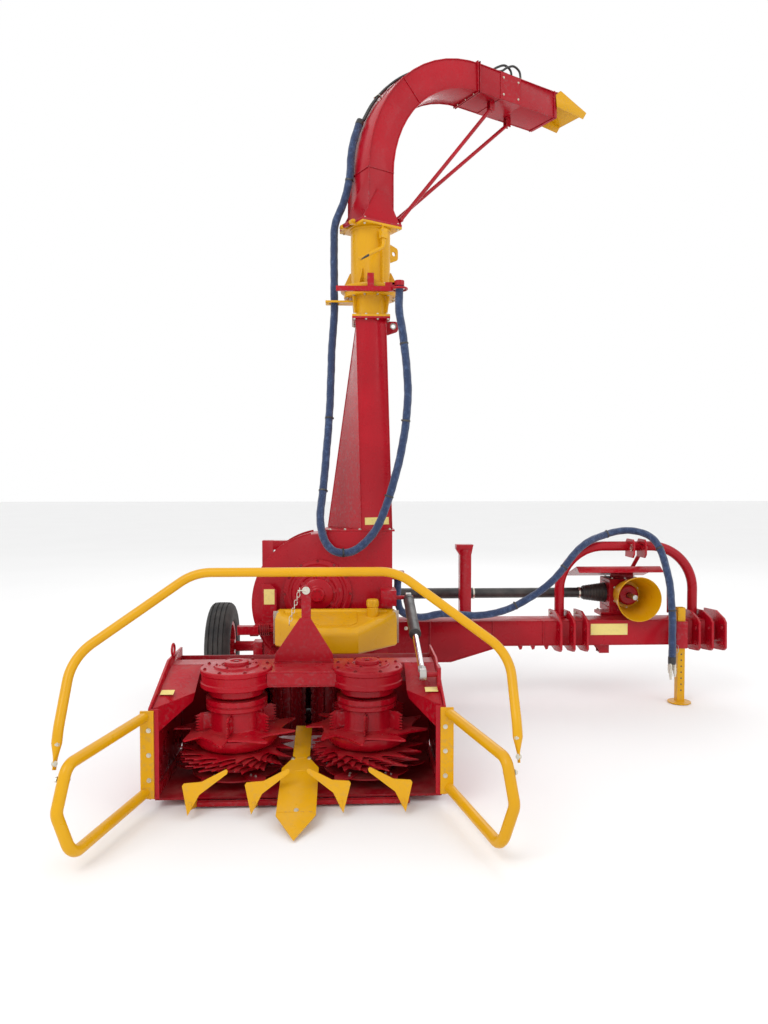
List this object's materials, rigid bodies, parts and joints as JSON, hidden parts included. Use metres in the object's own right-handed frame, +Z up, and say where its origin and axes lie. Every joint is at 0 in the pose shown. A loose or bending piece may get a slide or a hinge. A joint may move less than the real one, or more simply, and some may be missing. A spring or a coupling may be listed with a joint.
{
  "type": "tractor-mounted forage harvester",
  "caption": "Side-mounted row-independent forage harvester with twin gathering drums, chopper, tower, curved folding spout, hitch beam, transport wheel and parking stand.",
  "frame": {"origin": "on the ground, below the middle of the machine's box without its hoses", "axes": "+Z up, -Y is the way it travels and its header faces, +X towards the tractor's hitch"},
  "size_m": [3.6265, 2.9862, 4.3539],
  "materials": {
    "bare_steel": "machined steel",
    "black_plastic": "matte black guard and barrel",
    "chrome": "hard chrome rod",
    "hose_rubber": "black hydraulic hose",
    "hose_sleeve": "navy woven protective sleeve",
    "red_paint": "glossy crimson enamel, dusty in the corners",
    "tyre_rubber": "matte ribbed implement tyre",
    "yellow_paint": "glossy golden yellow enamel"
  },
  "bodies": {
    "root": {"chopper_housing": "red_paint", "housing_cover": "red_paint", "feed_box": "red_paint", "tank": "yellow_paint", "tower": "red_paint", "turret_base": "yellow_paint", "main_beam": "red_paint", "hitch_end_plate": "red_paint", "hitch_arch": "red_paint", "gearbox": "red_paint", "gearbox_shield": "red_paint", "pto_cone": "yellow_paint", "chopper_gearbox": "red_paint", "drive_shaft": "black_plastic", "back_frame": "red_paint", "wheel_arm": "red_paint", "stand_socket": "red_paint", "hose_supply": "hose_sleeve", "hose_loop": "hose_sleeve", "hose_clamp": "red_paint", "hose_couplers": "bare_steel"},
    "rotor": {"flywheel": "bare_steel"},
    "feed_roller_left_body": {"feed_roller_left": "red_paint"},
    "feed_roller_right_body": {"feed_roller_right": "red_paint"},
    "turret": {"turret_column": "yellow_paint", "latch_lever": "yellow_paint", "hose_guide": "red_paint"},
    "spout_body": {"spout": "red_paint", "spout_stays": "red_paint", "hose_spout": "hose_sleeve", "hose_flap_left": "hose_rubber", "hose_flap_right": "hose_rubber"},
    "flap_body": {"flap": "yellow_paint"},
    "flap_barrel_body": {"flap_barrel": "black_plastic"},
    "flap_rod_body": {"flap_rod": "chrome"},
    "pto_shaft_body": {"pto_shaft": "bare_steel"},
    "wheel": {"tyre": "tyre_rubber", "rim": "red_paint"},
    "stand": {"stand_leg": "yellow_paint"},
    "header": {"header_wall_left": "red_paint", "header_wall_right": "red_paint", "header_pan": "red_paint", "header_gearbox": "red_paint", "sign_plate": "red_paint", "dividers": "yellow_paint", "centre_plate": "yellow_paint", "side_rail_left": "yellow_paint", "side_rail_right": "yellow_paint", "front_hoop": "yellow_paint"},
    "drum_left_body": {"drum_left": "red_paint"},
    "knife_disc_left_body": {"knife_disc_left": "red_paint"},
    "drum_right_body": {"drum_right": "red_paint"},
    "knife_disc_right_body": {"knife_disc_right": "red_paint"},
    "lift_barrel_body": {"lift_barrel": "black_plastic"},
    "lift_rod_body": {"lift_rod": "chrome"}
  },
  "joints": [
    {"name": "wheel_roll", "type": "hinge", "parent": "root", "child": "wheel", "pos_m": [-1.57925, 1.13733, 0.31], "axis": [1, 0, 0], "continuous": true},
    {"name": "header_lift", "type": "hinge", "parent": "root", "child": "header", "pos_m": [-0.90925, -0.05267, 0.42], "axis": [-1, 0, 0], "range_deg": [0, 15]},
    {"name": "lift_barrel_swing", "type": "hinge", "parent": "root", "child": "lift_barrel_body", "pos_m": [-0.35425, 0.17733, 0.79], "axis": [-1, 0, 0], "range_deg": [-1, 11.23]},
    {"name": "lift_rod_slide", "type": "slide", "parent": "lift_barrel_body", "child": "lift_rod_body", "axis": [0, -0.9695, -0.245], "range_m": [-0.096, 0.01]},
    {"name": "rotor_spin", "type": "hinge", "parent": "root", "child": "rotor", "pos_m": [-0.83925, 0.30733, 0.74], "axis": [0, 1, 0], "continuous": true},
    {"name": "pto_spin", "type": "hinge", "parent": "root", "child": "pto_shaft_body", "pos_m": [1.24075, 0.68733, 0.69], "axis": [0, 1, 0], "continuous": true},
    {"name": "feed_roller_left_spin", "type": "hinge", "parent": "root", "child": "feed_roller_left_body", "pos_m": [-1.02125, -0.09767, 0.1], "axis": [0, 0, 1], "continuous": true},
    {"name": "feed_roller_right_spin", "type": "hinge", "parent": "root", "child": "feed_roller_right_body", "pos_m": [-0.79725, -0.09767, 0.1], "axis": [0, 0, 1], "continuous": true},
    {"name": "drum_left_spin", "type": "hinge", "parent": "header", "child": "drum_left_body", "pos_m": [-1.22425, -0.60267, 0.285], "axis": [0, 0, 1], "continuous": true},
    {"name": "drum_right_spin", "type": "hinge", "parent": "header", "child": "drum_right_body", "pos_m": [-0.59425, -0.60267, 0.285], "axis": [0, 0, 1], "continuous": true},
    {"name": "knife_disc_left_spin", "type": "hinge", "parent": "header", "child": "knife_disc_left_body", "pos_m": [-1.22425, -0.60267, 0.092], "axis": [0, 0, 1], "continuous": true},
    {"name": "knife_disc_right_spin", "type": "hinge", "parent": "header", "child": "knife_disc_right_body", "pos_m": [-0.59425, -0.60267, 0.092], "axis": [0, 0, 1], "continuous": true},
    {"name": "turret_slew", "type": "hinge", "parent": "root", "child": "turret", "pos_m": [-0.54925, 0.50733, 2.64], "axis": [0, 0, 1], "range_deg": [-90, 90], "deforming": ["hose_loop", "hose_spout"]},
    {"name": "spout_fold", "type": "hinge", "parent": "turret", "child": "spout_body", "pos_m": [-0.69214, 0.42483, 3.032], "axis": [0.5, -0.866, 0], "range_deg": [0, 160], "deforming": ["hose_spout"]},
    {"name": "flap_tilt", "type": "hinge", "parent": "spout_body", "child": "flap_body", "pos_m": [0.72554, 1.24333, 4.207], "axis": [-0.5, 0.866, 0], "range_deg": [-10, 30]},
    {"name": "flap_barrel_swing", "type": "hinge", "parent": "spout_body", "child": "flap_barrel_body", "pos_m": [0.36874, 1.03733, 4.245], "axis": [-0.5, 0.866, 0], "range_deg": [-1.84, 3.53]},
    {"name": "flap_rod_slide", "type": "slide", "parent": "flap_barrel_body", "child": "flap_rod_body", "axis": [0.8657, 0.4998, 0.0271], "range_m": [-0.0105, 0.0254]},
    {"name": "stand_slide", "type": "slide", "parent": "root", "child": "stand", "axis": [0, 0, 1], "range_m": [0, 0.3]}
  ],
  "couplings": [
    {"joint": "lift_barrel_swing", "follows": "header_lift", "ratio": 0.68211},
    {"joint": "lift_rod_slide", "follows": "header_lift", "m_per_rad": -0.32847},
    {"joint": "drum_right_spin", "follows": "drum_left_spin", "ratio": -1},
    {"joint": "knife_disc_left_spin", "follows": "drum_left_spin", "ratio": 8},
    {"joint": "knife_disc_right_spin", "follows": "drum_left_spin", "ratio": -8},
    {"joint": "feed_roller_right_spin", "follows": "feed_roller_left_spin", "ratio": -1},
    {"joint": "pto_spin", "follows": "rotor_spin", "ratio": 1},
    {"joint": "flap_barrel_swing", "follows": "flap_tilt", "ratio": 0.08441},
    {"joint": "flap_rod_slide", "follows": "flap_tilt", "m_per_rad": 0.04284}
  ]
}
